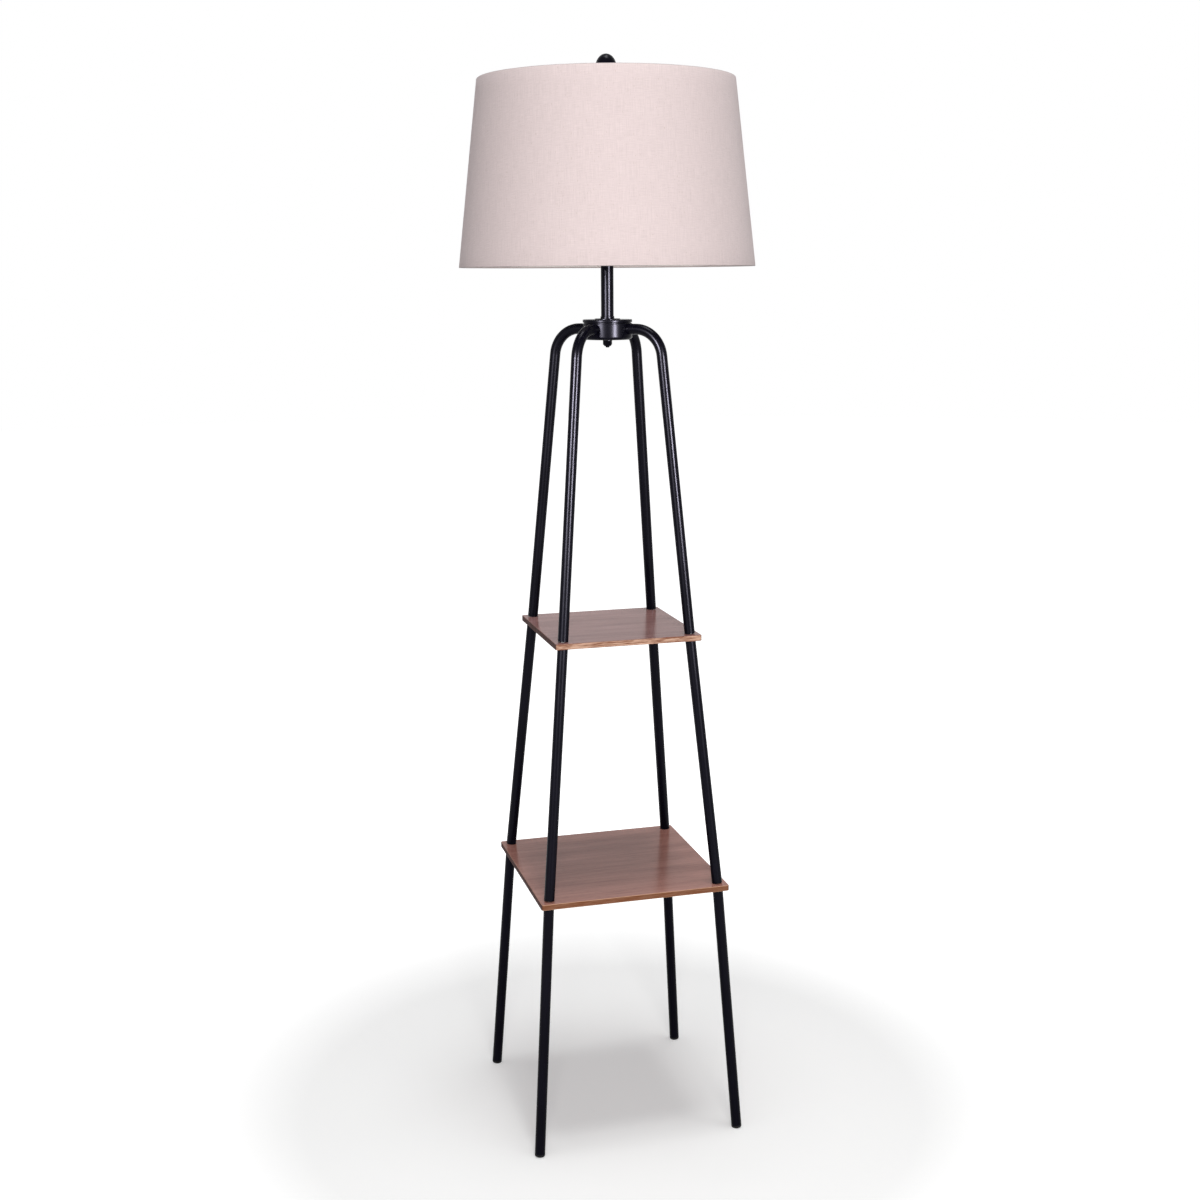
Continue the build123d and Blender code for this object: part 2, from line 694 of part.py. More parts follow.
nodes = {
    "lower_shelf": shelf(lower_joint_spacing, lower_shelf_top, lower_stud_line),
    "upper_shelf": shelf(upper_joint_spacing, upper_shelf_top, upper_stud_line),
    "lower_joint_studs": four(along_stud(lower_stud_line, stud_radius, stud_length)),
    "upper_joint_studs": four(along_stud(upper_stud_line, stud_radius, stud_length)),
    "lower_joint_inserts": shelf_inserts(foot_point, lower_point, upper_point,
                                         lower_leg_top, middle_leg_foot),
    "upper_joint_inserts": shelf_inserts(lower_point, upper_point, crown_point,
                                         middle_leg_top, upper_leg_foot),
    "hub_cup": hub_cup(),
    "hub_lid": hub_lid(),
    "hub_spacer": hub_spacer(),
    "hub_tie_rod": tie_rod(),
    "hub_washer": hub_washer(),
    "hub_nut": hub_nut(),
    "hub_arm_screws": four(arm_screw()),
    "hub_arm_inserts": four(arm_insert()),
    "lid_plate": plain_washer(lid_top_z, lid_plate_radius, tie_radius + stud_clearance, lid_plate,
                              lid_plate / 2),
    "pole": pole(),
    "pole_collar": plain_washer(pole_foot_z, pole_radius + collar_wall, pole_radius + fit_gap,
                                collar_height, collar_wall / 2),
    "pole_plug": pole_plug(),
    "pole_bush": pole_bush(),
    "cord_grommet": cord_grommet(),
    "socket_nipple": socket_nipple(),
    "check_washer": plain_washer(pole_top_z, check_washer_radius, nipple_radius + fit_gap, check_washer,
                                 check_washer / 2),
    "harp_saddle": harp_saddle(),
    "harp": harp(),
    "harp_ferrule_left": harp_ferrule(-1),
    "harp_ferrule_right": harp_ferrule(1),
    "harp_stud": harp_stud(),
    "socket_cap": socket_cap(),
    "socket_shell": socket_shell(),
    "socket_liner": socket_liner(),
    "socket_block": socket_block(),
    "screw_shell": screw_shell(),
    "switch_bush": switch_bush(),
    "switch_shaft": switch_shaft(),
    "switch_knob": switch_knob(),
    "bulb_base": bulb_base(),
    "bulb_glass": bulb_glass(),
    "shade_shell": cone_ring(shade_hem_z, shade_rim_z, 0, shade_wall),
    "shade_top_hem": shade_hem(shade_rim_z - shade_hem_height),
    "shade_bottom_hem": shade_hem(shade_hem_z),
    "shade_spider": spider(),
    "shade_bottom_ring": wire_ring(shade_hem_z + ring_inset),
    "finial": finial(),
}

lower_leg = straight_leg(tube_foot, lower_leg_top)
middle_leg = straight_leg(middle_leg_foot, middle_leg_top)
bent_leg = upper_leg()
leg_cap = foot_cap()
for corner, angle in corner_angles.items():
    nodes[f"foot_cap_{corner}"] = Rot(0, 0, angle) * leg_cap
    nodes[f"lower_leg_{corner}"] = Rot(0, 0, angle) * lower_leg
    nodes[f"middle_leg_{corner}"] = Rot(0, 0, angle) * middle_leg
    nodes[f"upper_leg_{corner}"] = Rot(0, 0, angle) * bent_leg

os.makedirs("parts", exist_ok=True)
for name, shape in nodes.items():
    export_step(shape, f"parts/{name}.step")
    print(name, round(shape.volume), "mm3")
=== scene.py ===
# %% [markdown]
# # A floor lamp with two wooden shelves
# The lamp's solid parts come as a CAD frame, in metres, with the floor at z = 0 and the pole on the
# Z axis. This file gives each part its finish, makes the pieces that a solid model leaves plain,
# and sets up the studio. All that is drawn here is measured from the frame, so it fits by itself.

# %% Load the frame
import json
from math import atan2, cos, hypot, pi, radians, sin

import bpy
from mathutils import Matrix, Vector


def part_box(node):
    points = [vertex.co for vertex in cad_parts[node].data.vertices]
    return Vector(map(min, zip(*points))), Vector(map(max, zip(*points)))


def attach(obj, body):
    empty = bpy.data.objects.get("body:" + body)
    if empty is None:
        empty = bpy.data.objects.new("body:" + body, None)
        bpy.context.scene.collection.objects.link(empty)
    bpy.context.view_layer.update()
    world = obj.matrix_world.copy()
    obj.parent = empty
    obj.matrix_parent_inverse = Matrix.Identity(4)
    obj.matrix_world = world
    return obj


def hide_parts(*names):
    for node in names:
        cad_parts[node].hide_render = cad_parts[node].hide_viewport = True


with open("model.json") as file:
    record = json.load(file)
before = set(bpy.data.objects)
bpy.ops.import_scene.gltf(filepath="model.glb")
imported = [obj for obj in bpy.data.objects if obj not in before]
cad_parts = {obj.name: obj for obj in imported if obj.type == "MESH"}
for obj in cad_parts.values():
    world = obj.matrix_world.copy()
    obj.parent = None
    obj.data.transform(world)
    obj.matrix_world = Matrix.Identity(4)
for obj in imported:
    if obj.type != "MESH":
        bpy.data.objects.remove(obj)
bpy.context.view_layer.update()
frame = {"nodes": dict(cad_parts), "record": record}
parts = frame["nodes"]

# %% [markdown]
# ## Camera
# The view was worked out from the straight lines of the lamp: it is seen from a little to the left
# of its front, with the lens just under the shade and tipped slightly down. A lens is given here
# in pixels first, because that is how it is measured from a picture, and then turned into
# millimetres on the sensor.

# %% Camera
picture_side = 1200
focal_length_pixels = 1632.2
camera_azimuth = radians(-15.29)
camera_elevation = radians(11.14)
camera_roll = radians(-0.398)
camera_distance = 2.2755
aim_height = 0.7445
aim_to_right = -0.0126

towards_camera = Vector((sin(camera_azimuth) * cos(camera_elevation),
                         -cos(camera_azimuth) * cos(camera_elevation), sin(camera_elevation)))
to_right = Vector((cos(camera_azimuth), sin(camera_azimuth), 0))
place = Vector((0, 0, aim_height)) + to_right * aim_to_right + towards_camera * camera_distance
axes = Matrix((to_right, towards_camera.cross(to_right), towards_camera)).transposed()

bpy.ops.object.camera_add(location=place)
camera = bpy.context.object
camera.rotation_euler = (axes @ Matrix.Rotation(camera_roll, 3, "Z")).to_euler()
camera.data.sensor_width = 36
camera.data.lens = focal_length_pixels / picture_side * camera.data.sensor_width
bpy.context.scene.camera = camera
bpy.context.scene.view_settings.view_transform = "Standard"
print("camera at", [round(v, 3) for v in place], "lens", round(camera.data.lens, 2), "mm")

# %% [markdown]
# ## Shader helpers
# A finish in Blender is a small network of nodes. A few short helpers keep the networks below
# readable. They start a material, add a node with its values, do one step of arithmetic, stretch
# a value from one range to another, mix two colours, and write a colour.

# %% Shader helpers
def start_finish(name, **constants):
    """A new material and its Principled shader, with the constants set on the shader's sockets."""
    material = bpy.data.materials.new(name)
    material.use_nodes = True
    shader = material.node_tree.nodes["Principled BSDF"]
    for socket, value in constants.items():
        shader.inputs[socket.replace("_", " ")].default_value = value
    print("finish:", name)
    return material, material.node_tree, shader


def add(tree, kind, inputs=None, **settings):
    """A node of one kind, with its settings and some of its input values."""
    made = tree.nodes.new(kind)
    for setting, value in settings.items():
        setattr(made, setting, value)
    for socket, value in (inputs or {}).items():
        if isinstance(value, bpy.types.NodeSocket):
            tree.links.new(value, made.inputs[socket])
        else:
            made.inputs[socket].default_value = value
    return made


def math(tree, operation, a, b=0.0):
    """One step of arithmetic on two values or sockets."""
    return add(tree, "ShaderNodeMath", {0: a, 1: b}, operation=operation).outputs[0]


def ramp(tree, value, low, high, to_low=0.0, to_high=1.0):
    """A value stretched from one range to another, and held at its ends."""
    return add(tree, "ShaderNodeMapRange", {"Value": value, "From Min": low, "From Max": high,
                                            "To Min": to_low, "To Max": to_high}).outputs[0]


def blend_colours(tree, share, first, second):
    """Two colours mixed by a share, where 0 gives the first."""
    mixed = add(tree, "ShaderNodeMix", {0: share, 6: first, 7: second}, data_type="RGBA")
    return mixed.outputs[2]


def colour(red, green, blue):
    """An opaque colour from its linear red, green and blue."""
    return (red, green, blue, 1.0)


# %% [markdown]
# ## Studio
# The lamp stands on a plain white floor under soft light: a broad key close beside the camera, and
# a lamp overhead that lays the soft oval shadow under the shelves. The key gives no reflection,
# as it would grey the whole of the black paint. Black tube shows light only as narrow stripes, so
# a small strong strip stands on each side of the camera to make them. The world is white where
# the camera, a mirror or glass looks at it, and a dim lavender grey for the light that it sends.

# %% World
def looks_at_background(tree):
    """1 for camera, glossy and transmission rays, and 0 for the rest."""
    rays = add(tree, "ShaderNodeLightPath")
    seen = math(tree, "MAXIMUM", rays.outputs["Is Camera Ray"], rays.outputs["Is Glossy Ray"])
    return math(tree, "MAXIMUM", seen, rays.outputs["Is Transmission Ray"])


ambient_colour = colour(0.172, 0.168, 0.180)
world = bpy.data.worlds.new("studio")
bpy.context.scene.world = world
world.use_nodes = True
sky = world.node_tree
sky_colour = blend_colours(sky, looks_at_background(sky), ambient_colour, colour(1, 1, 1))
sky.links.new(sky_colour, sky.nodes["Background"].inputs["Color"])
print("world: white to look at, and it lights with", ambient_colour[:3])

# %% Floor
floor_radius = 12
floor_shadow_radius = 0.45
floor_white_radius = 1.0
floor_glow_near = 0.25

bpy.ops.object.select_all(action="DESELECT")
bpy.ops.mesh.primitive_circle_add(vertices=96, radius=floor_radius, fill_type="NGON")
floor_sheet = bpy.context.object
floor_sheet.name = "studio_floor"
floor_paper, tree, shader = start_finish("floor_paper", Base_Color=colour(0.79, 0.80, 0.79),
                                         Roughness=1.0, Specular_IOR_Level=0.0,
                                         Emission_Color=colour(1, 1, 1))
floor_place = add(tree, "ShaderNodeTexCoord").outputs["Object"]
from_lamp = add(tree, "ShaderNodeVectorMath", {0: floor_place}, operation="LENGTH").outputs["Value"]
glow = ramp(tree, from_lamp, floor_shadow_radius, floor_white_radius, floor_glow_near, 1.0)
glow = math(tree, "MULTIPLY", glow, looks_at_background(tree))
tree.links.new(glow, shader.inputs["Emission Strength"])
floor_sheet.data.materials.append(floor_paper)


# %% Lights
def softbox(name, azimuth, distance, height, width, tall, watts, tint, aim=(0, 0, 0.9)):
    """A flat light at an azimuth from the lamp's front, counted to the right, turned to its aim."""
    turn = radians(azimuth)
    spot = Vector((sin(turn) * distance, -cos(turn) * distance, height))
    bpy.ops.object.light_add(type="AREA", location=spot)
    lamp = bpy.context.object
    lamp.name = name
    lamp.rotation_euler = (Vector(aim) - spot).to_track_quat("-Z", "Y").to_euler()
    lamp.data.shape = "RECTANGLE"
    lamp.data.size, lamp.data.size_y = width, tall
    lamp.data.energy = watts
    lamp.data.color = tint
    lamp.visible_camera = False
    return lamp


key_light = softbox("key_light", -11, 3.2, 1.4, 1.2, 1.2, 68, (1.0, 0.985, 0.975))
key_light.visible_glossy = False
left_strip = softbox("left_strip", -47, 2.6, 1.48, 0.45, 0.5, 500, (0.92, 0.91, 1.0))
right_strip = softbox("right_strip", 19, 2.4, 1.14, 0.35, 0.42, 330, (0.93, 0.92, 1.0))
for strip in (left_strip, right_strip):
    strip.visible_diffuse = False
softbox("top_light", 20, 0.25, 4.2, 1.15, 1.15, 81, (1.0, 1.0, 1.0), aim=(0, 0, 0))
back_fill = softbox("back_fill", 180, 3.2, 1.4, 1.2, 1.2, 60, (1.0, 0.985, 0.975))
back_fill.visible_glossy = False

# %% [markdown]
# ## Finishes that share an effect
# Sprayed, moulded and plated skins are never quite even: they have a fine grain, and soft patches
# that are a little duller. One node group makes both from the object's own coordinates, and every
# such material places it with its own grain size.

# %% Group: uneven skin
def group(name, inputs, outputs):
    """An empty shader node group with named sockets, its input node and its output node."""
    tree = bpy.data.node_groups.new(name, "ShaderNodeTree")
    for label, kind, value in inputs:
        socket = tree.interface.new_socket(label, in_out="INPUT", socket_type=kind)
        if value is not None:
            socket.default_value = value
    for label, kind in outputs:
        tree.interface.new_socket(label, in_out="OUTPUT", socket_type=kind)
    print("node group:", name)
    return tree, tree.nodes.new("NodeGroupInput"), tree.nodes.new("NodeGroupOutput")


def stretched(tree, vector, x, y, z):
    """Coordinates multiplied along each axis."""
    product = add(tree, "ShaderNodeVectorMath", {0: vector, 1: (x, y, z)}, operation="MULTIPLY")
    return product.outputs[0]


def cloud(tree, vector, scale=1.0, detail=2.0, roughness=0.5):
    """Soft noise between about 0.2 and 0.8."""
    values = {"Vector": vector, "Scale": scale, "Detail": detail, "Roughness": roughness}
    return add(tree, "ShaderNodeTexNoise", values).outputs["Fac"]


patches_per_metre = 14.0

skin_inputs = [("Place", "NodeSocketVector", None), ("Grains per metre", "NodeSocketFloat", 1500.0)]
skin_outputs = [("Height", "NodeSocketFloat"), ("Patches", "NodeSocketFloat")]
uneven_skin, inside, outside = group("uneven_skin", skin_inputs, skin_outputs)
fine = cloud(uneven_skin, inside.outputs["Place"], inside.outputs["Grains per metre"])
broad = cloud(uneven_skin, inside.outputs["Place"], patches_per_metre, 2.0)
uneven_skin.links.new(fine, outside.inputs["Height"])
uneven_skin.links.new(ramp(uneven_skin, broad, 0.3, 0.7), outside.inputs["Patches"])


def skin(tree, shader, grains, depth, dull, shiny, dark=None, light=None):
    """Places the uneven skin on a material: bump, roughness and, if two are given, its colours."""
    place = add(tree, "ShaderNodeTexCoord").outputs["Object"]
    effect = add(tree, "ShaderNodeGroup", {"Place": place, "Grains per metre": grains},
                 node_tree=uneven_skin)
    bump = add(tree, "ShaderNodeBump", {"Strength": 0.6, "Distance": depth,
                                        "Height": effect.outputs["Height"]})
    tree.links.new(bump.outputs["Normal"], shader.inputs["Normal"])
    roughness = ramp(tree, effect.outputs["Patches"], 0, 1, shiny, dull)
    tree.links.new(roughness, shader.inputs["Roughness"])
    if dark:
        shade = blend_colours(tree, effect.outputs["Patches"], dark, light)
        tree.links.new(shade, shader.inputs["Base Color"])


# %% [markdown]
# ## Metal and plastic
# The tubes, hub, pole, nut and finial wear one black paint, sprayed and baked: satin, a trace of
# blue in it, with the faint orange peel that such paint has. Its base is nearly black, so almost
# all that shows on it is the reflection of the lights. The feet are moulded plastic, duller than
# the paint. The hidden hardware is zinc, brass and nickel, each with its own small unevenness.

# %% Black paint
black_metal, tree, shader = start_finish("black_metal", Specular_IOR_Level=0.05, IOR=1.5,
                                         Specular_Tint=colour(0.90, 0.88, 1.0))
skin(tree, shader, 2600, 0.0000012, 0.29, 0.25,
     colour(0.0013, 0.0011, 0.0034), colour(0.0021, 0.0018, 0.0052))

# %% Moulded foot plastic
foot_plastic, tree, shader = start_finish("foot_plastic", Specular_IOR_Level=0.2)
skin(tree, shader, 2600, 0.00004, 0.58, 0.48,
     colour(0.004, 0.004, 0.0045), colour(0.008, 0.008, 0.0085))

# %% Black phenolic
black_plastic, tree, shader = start_finish("black_plastic", Specular_IOR_Level=0.5)
skin(tree, shader, 1200, 0.00001, 0.34, 0.22,
     colour(0.008, 0.008, 0.008), colour(0.016, 0.015, 0.014))

# %% Zinc, brass, nickel and aluminium
zinc_steel, tree, shader = start_finish("zinc_steel", Metallic=1.0)
skin(tree, shader, 700, 0.00002, 0.42, 0.26, colour(0.50, 0.52, 0.55), colour(0.66, 0.66, 0.66))

brass_parts, tree, shader = start_finish("brass_parts", Metallic=1.0)
skin(tree, shader, 1400, 0.00001, 0.32, 0.18, colour(0.62, 0.42, 0.17), colour(0.78, 0.58, 0.30))

harp_metal, tree, shader = start_finish("harp_metal", Metallic=1.0)
skin(tree, shader, 1400, 0.00001, 0.28, 0.16, colour(0.60, 0.57, 0.52), colour(0.72, 0.69, 0.64))

bulb_metal, tree, shader = start_finish("bulb_metal", Metallic=1.0)
skin(tree, shader, 900, 0.00001, 0.36, 0.22, colour(0.66, 0.67, 0.68), colour(0.80, 0.80, 0.80))

# %% [markdown]
# ## Card and glass
# The socket's liner is pressed brown card with short fibres in it. The bulb is frosted inside, so
# it is white and soft, and its outside still has the gloss of glass: a rough white body under a
# clear coat gives both.

# %% Pressed card
socket_card, tree, shader = start_finish("socket_card", Specular_IOR_Level=0.2)
skin(tree, shader, 1800, 0.00006, 0.92, 0.80, colour(0.26, 0.18, 0.10), colour(0.42, 0.31, 0.19))

# %% Frosted glass
frosted_glass, tree, shader = start_finish("frosted_glass", IOR=1.5, Transmission_Weight=0.25,
                                           Coat_Weight=0.6, Coat_Roughness=0.06)
skin(tree, shader, 3000, 0.00001, 0.50, 0.42, colour(0.86, 0.86, 0.83), colour(0.93, 0.93, 0.91))

# %% [markdown]
# ## Walnut boards
# The shelves are thin boards faced with walnut veneer under a satin lacquer. The grain runs from
# side to side. Three layers of stretched noise make it: soft clouds, fine lines and short dark
# pores. Each board is given its own face colours, greyer on the upper shelf and lighter and redder
# on the lower one, and the height on the lamp picks between them. The front and back edges run
# along the grain: they show paler wood in thin streaks on the upper shelf, under the dark line of
# the veneer, and are darker on the lower one, whose arris carries a painted pale highlight. The
# other two edges cut across the grain; they are painted dark, for the end grain and as painted
# shade on those sides. The surface normal tells which is which: it points up or down on a face,
# sideways on an edge, and between the two on an arris. Each noise is stretched by its own count of
# features per metre along the board's width, depth and thickness.

# %% Walnut
# Each board is given its own set of face colours, picked by its height on the lamp.
upper_dark, upper_light = colour(0.195, 0.088, 0.079), colour(0.358, 0.189, 0.177)
lower_dark, lower_light = colour(0.265, 0.108, 0.083), colour(0.485, 0.232, 0.186)
edge_dark, edge_light = colour(0.26, 0.105, 0.062), colour(0.68, 0.435, 0.315)
# The lower board's front and back edges are given the darker edge colour below.
lower_edge_dark = colour(0.185, 0.066, 0.028)
# The pale arris colour is a painted highlight, where the lower board's arris catches the light.
arris_highlight, veneer_line = colour(0.68, 0.42, 0.28), colour(0.20, 0.060, 0.040)
# The end-grain colour is dark both for the end grain itself and as painted shade on the side edges.
end_grain_and_shade, open_pore = colour(0.105, 0.060, 0.055), colour(0.07, 0.03, 0.02)
between_boards = 0.5

shelf_wood, tree, shader = start_finish("shelf_wood", Specular_IOR_Level=0.03, Coat_Roughness=0.2)
spots = add(tree, "ShaderNodeTexCoord")
place = spots.outputs["Object"]
soft_clouds = cloud(tree, stretched(tree, place, 7, 40, 9), 1.0, 3.0)
fine_lines = cloud(tree, stretched(tree, place, 9, 320, 40), 1.0, 4.0, 0.6)
pores = cloud(tree, stretched(tree, place, 90, 1500, 300), 1.0, 1.0)
figure = math(tree, "ADD", math(tree, "MULTIPLY", soft_clouds, 0.62),
              math(tree, "MULTIPLY", fine_lines, 0.38))
board_height = add(tree, "ShaderNodeSeparateXYZ", {0: place}).outputs["Z"]
lower_board = ramp(tree, board_height, between_boards - 0.05, between_boards + 0.05, 1.0, 0.0)
face_dark = blend_colours(tree, lower_board, upper_dark, lower_dark)
face_light = blend_colours(tree, lower_board, upper_light, lower_light)
face_colour = blend_colours(tree, ramp(tree, figure, 0.30, 0.68), face_dark, face_light)
pore_mark = ramp(tree, pores, 0.60, 0.72, 0.0, 0.35)
face_colour = blend_colours(tree, pore_mark, face_colour, open_pore)

streaks = cloud(tree, stretched(tree, place, 55, 55, 750), 1.0, 3.0, 0.6)
edge_colour = blend_colours(tree, ramp(tree, streaks, 0.40, 0.60), edge_dark, edge_light)
# The lower board's front and back edges are mixed towards a darker colour.
lower_edge_share = math(tree, "MULTIPLY", lower_board, 0.85)
edge_colour = blend_colours(tree, lower_edge_share, edge_colour, lower_edge_dark)
normal_parts = add(tree, "ShaderNodeSeparateXYZ", {0: spots.outputs["Normal"]})
# The two side edges take the dark colour: end grain, and painted shade on those sides.
on_end = ramp(tree, math(tree, "ABSOLUTE", normal_parts.outputs["X"]), 0.6, 0.85)
edge_colour = blend_colours(tree, on_end, edge_colour, end_grain_and_shade)
upright = math(tree, "ABSOLUTE", normal_parts.outputs["Z"])
on_face = ramp(tree, upright, 0.8, 0.95)
off_end = math(tree, "SUBTRACT", 1.0, on_end)
on_arris = math(tree, "MULTIPLY", ramp(tree, upright, 0.15, 0.4), off_end)
# On the lower board the arris gets the painted highlight; on the upper board, the veneer's dark
# line.
arris_colour = blend_colours(tree, lower_board, veneer_line, arris_highlight)
edge_colour = blend_colours(tree, math(tree, "MULTIPLY", on_arris, 0.75), edge_colour, arris_colour)
tree.links.new(blend_colours(tree, on_face, edge_colour, face_colour), shader.inputs["Base Color"])
tree.links.new(ramp(tree, figure, 0.3, 0.7, 0.75, 0.6), shader.inputs["Roughness"])
tree.links.new(math(tree, "MULTIPLY", on_face, 0.52), shader.inputs["Coat Weight"])
grain_height = math(tree, "SUBTRACT", fine_lines, pore_mark)
bump = add(tree, "ShaderNodeBump", {"Strength": 0.25, "Distance": 0.00012, "Height": grain_height})
tree.links.new(bump.outputs["Normal"], shader.inputs["Normal"])

# %% [markdown]
# ## Linen
# The shade is covered in plain-woven linen: threads that cross over and under each other, some of
# them thicker than the rest, which shows as upright streaks and small tan flecks. The pattern is
# laid out on the cloth as it was cut, flat, so the threads stand upright at the front and lean
# with the cone at the sides, as they do on the real shade. Its coordinates are a UV map in metres.

# %% Group: plain weave
linen_threads = 1300.0

weave_inputs = [("Cut", "NodeSocketVector", None),
                ("Threads per metre", "NodeSocketFloat", linen_threads)]
weave_outputs = [("Height", "NodeSocketFloat"), ("Upright", "NodeSocketFloat"),
                 ("Slubs", "NodeSocketFloat"), ("Flecks", "NodeSocketFloat")]
plain_weave, inside, outside = group("plain_weave", weave_inputs, weave_outputs)
laid = add(plain_weave, "ShaderNodeVectorMath", {0: inside.outputs["Cut"],
                                                 3: inside.outputs["Threads per metre"]},
           operation="SCALE").outputs[0]
across = add(plain_weave, "ShaderNodeSeparateXYZ", {0: laid})
warp = math(plain_weave, "ABSOLUTE",
            math(plain_weave, "SINE", math(plain_weave, "MULTIPLY", across.outputs["X"], pi)))
weft = math(plain_weave, "ABSOLUTE",
            math(plain_weave, "SINE", math(plain_weave, "MULTIPLY", across.outputs["Y"], pi)))
checks = math(plain_weave, "ADD", math(plain_weave, "FLOOR", across.outputs["X"]),
              math(plain_weave, "FLOOR", across.outputs["Y"]))
over = math(plain_weave, "PINGPONG", checks, 1.0)
height = add(plain_weave, "ShaderNodeMix", {0: over, 2: warp, 3: weft}).outputs[0]
upright_slubs = cloud(plain_weave, stretched(plain_weave, laid, 0.9, 0.03, 1), 1.0, 3.0, 0.7)
level_slubs = cloud(plain_weave, stretched(plain_weave, laid, 0.06, 0.9, 1), 1.0, 2.0, 0.6)
slubs = math(plain_weave, "ADD", math(plain_weave, "MULTIPLY", upright_slubs, 0.56),
             math(plain_weave, "MULTIPLY", level_slubs, 0.44))
flecks = ramp(plain_weave, cloud(plain_weave, stretched(plain_weave, laid, 0.8, 0.16, 1), 1.0, 1.0),
              0.68, 0.76)
for label, value in (("Height", height), ("Upright", over), ("Slubs", slubs), ("Flecks", flecks)):
    plain_weave.links.new(value, outside.inputs[label])

# %% Linen
thread_dark, thread_light = colour(0.69, 0.58, 0.57), colour(0.87, 0.745, 0.735)
# The grey below is painted shade, laid as a thin band along each rolled rim of the cloth.
fleck_tan, rim_shade_grey = colour(0.50, 0.39, 0.31), colour(0.30, 0.27, 0.27)
rim_shade_width = 0.0009

linen, tree, shader = start_finish("linen", Roughness=0.9, Specular_IOR_Level=0.2,
                                   Sheen_Weight=0.15)
cut = add(tree, "ShaderNodeUVMap", uv_map="cut").outputs["UV"]
weave = add(tree, "ShaderNodeGroup", {"Cut": cut, "Threads per metre": linen_threads},
            node_tree=plain_weave)
thread = ramp(tree, weave.outputs["Slubs"], 0.26, 0.66)
# Painted shade: the thread colour is made darker where the weave dips between the threads.
thread = math(tree, "MULTIPLY", thread, ramp(tree, weave.outputs["Height"], 0.0, 0.6, 0.72, 1.0))
cloth = blend_colours(tree, thread, thread_dark, thread_light)
cloth = blend_colours(tree, math(tree, "MULTIPLY", weave.outputs["Flecks"], 0.5), cloth, fleck_tan)
shade_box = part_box("shade_shell")
height_on_shade = add(tree, "ShaderNodeSeparateXYZ",
                      {0: add(tree, "ShaderNodeTexCoord").outputs["Object"]}).outputs["Z"]
# Painted shade: a thin grey band at the top rim and at the hem, where the cloth rolls over.
over_top = ramp(tree, height_on_shade, shade_box[1][2] - rim_shade_width, shade_box[1][2] - rim_shade_width / 3)
under_hem = ramp(tree, height_on_shade, shade_box[0][2] + rim_shade_width, shade_box[0][2] + rim_shade_width / 3)
rim_shade_share = math(tree, "MAXIMUM", over_top, under_hem)
cloth = blend_colours(tree, math(tree, "MULTIPLY", rim_shade_share, 0.75), cloth, rim_shade_grey)
tree.links.new(cloth, shader.inputs["Base Color"])
bump = add(tree, "ShaderNodeBump", {"Strength": 0.5, "Distance": 0.0003,
                                    "Height": weave.outputs["Height"]})
tree.links.new(bump.outputs["Normal"], shader.inputs["Normal"])

# %% Shade lining
shade_lining, tree, shader = start_finish("shade_lining", Specular_IOR_Level=0.3)
skin(tree, shader, 400, 0.00002, 0.55, 0.45, colour(0.80, 0.78, 0.73), colour(0.86, 0.84, 0.80))

# %% Give the CAD parts their finishes
finishes = {"black_metal": black_metal, "foot_plastic": foot_plastic,
            "black_plastic": black_plastic, "zinc_steel": zinc_steel, "brass_parts": brass_parts,
            "harp_metal": harp_metal, "bulb_metal": bulb_metal, "socket_card": socket_card,
            "frosted_glass": frosted_glass, "shelf_wood": shelf_wood, "linen": linen}
for entry in frame["record"]["subparts"]:
    part = parts[entry["node"]]
    part.data.materials.clear()
    part.data.materials.append(finishes[entry["material_slot"]])
print("finishes on", len(parts), "parts")

# %% [markdown]
# The two strips are there for the black paint alone. Light linking keeps them off the wood, the
# glass and the bright metal, where they would burn white spots. The nut under the hub is left out
# too: its six flats are small mirrors, and one of them would flash white.

# %% Keep the strips to the painted parts
painted = bpy.data.collections.new("painted")
for entry in frame["record"]["subparts"]:
    if entry["material_slot"] == "black_metal" and entry["node"] != "hub_nut":
        painted.objects.link(parts[entry["node"]])
for strip in (left_strip, right_strip):
    strip.light_linking.receiver_collection = painted

# %% [markdown]
# ## The linen cover
# The CAD shade is a bare cone. The real one is cloth glued to a stiff white sheet, with the cloth
# turned over both rims and tucked inside, and its two ends lapped at the back. A turned piece is
# easy to make by hand: add a circle, extrude it, resize it, and go on from ring to ring until the
# wall closes on itself. Each rim is a half circle of short steps.

# %% Turning a piece from rings
smooth_below = radians(40)


def turn_piece(name, rings, sides=256, closed=True):
    """A turned wall from (radius, height) rings: extruded ring by ring, then bridged shut."""
    bpy.ops.object.select_all(action="DESELECT")
    bpy.ops.mesh.primitive_circle_add(vertices=sides, radius=rings[0][0], location=(0, 0, 0))
    piece = bpy.context.object
    piece.name = name
    bpy.ops.object.mode_set(mode="EDIT")
    bpy.ops.mesh.select_all(action="SELECT")
    bpy.ops.transform.translate(value=(0, 0, rings[0][1]))
    for (radius, height), (wide, high) in zip(rings, rings[1:]):
        bpy.ops.mesh.extrude_edges_move(TRANSFORM_OT_translate={"value": (0, 0, high - height)})
        bpy.ops.transform.resize(value=(wide / radius, wide / radius, 1), center_override=(0, 0, 0))
    if closed:
        bpy.ops.mesh.select_mode(type="EDGE")
        bpy.ops.mesh.select_all(action="DESELECT")
        bpy.ops.mesh.select_non_manifold()
        bpy.ops.mesh.bridge_edge_loops()
    bpy.ops.mesh.select_all(action="SELECT")
    bpy.ops.mesh.normals_make_consistent(inside=False)
    bpy.ops.object.mode_set(mode="OBJECT")
    bpy.ops.object.shade_smooth_by_angle(angle=smooth_below)
    print("turned", name + ":", len(rings), "rings of", sides, "points")
    return piece


# %% Measure the cone
height_tolerance = 0.0001


